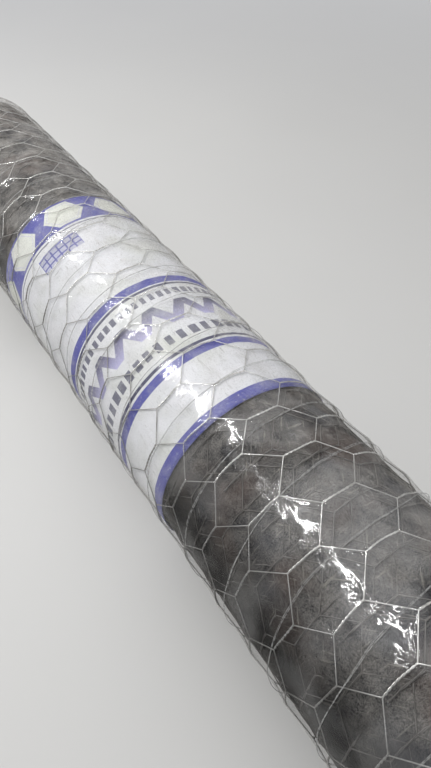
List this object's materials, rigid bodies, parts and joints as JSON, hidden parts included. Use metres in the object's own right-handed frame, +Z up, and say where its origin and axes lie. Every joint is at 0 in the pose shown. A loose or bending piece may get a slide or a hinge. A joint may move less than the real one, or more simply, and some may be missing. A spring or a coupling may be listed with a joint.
{
  "type": "roll of hexagonal wire netting",
  "caption": "Roll of galvanised hexagonal wire netting, bound in clear film with a printed paper label under its outermost turn.",
  "frame": {"origin": "on the ground under the middle of the roll, as it lies on its side", "axes": "+X along the roll's axis, +Y across it, +Z up"},
  "size_m": [1.201, 0.21, 0.2099],
  "materials": {
    "galvanised_wire": "galvanised, dull grey with bright crests, dark and dusty in the inner turns",
    "label_paper": "matt white paper with blue-violet printed bands",
    "clear_film": "clear stretch film, glossy and wrinkled"
  },
  "bodies": {
    "root": {"netting_roll": "galvanised_wire", "paper_label": "label_paper", "clear_film_wrap": "clear_film"}
  },
  "joints": []
}
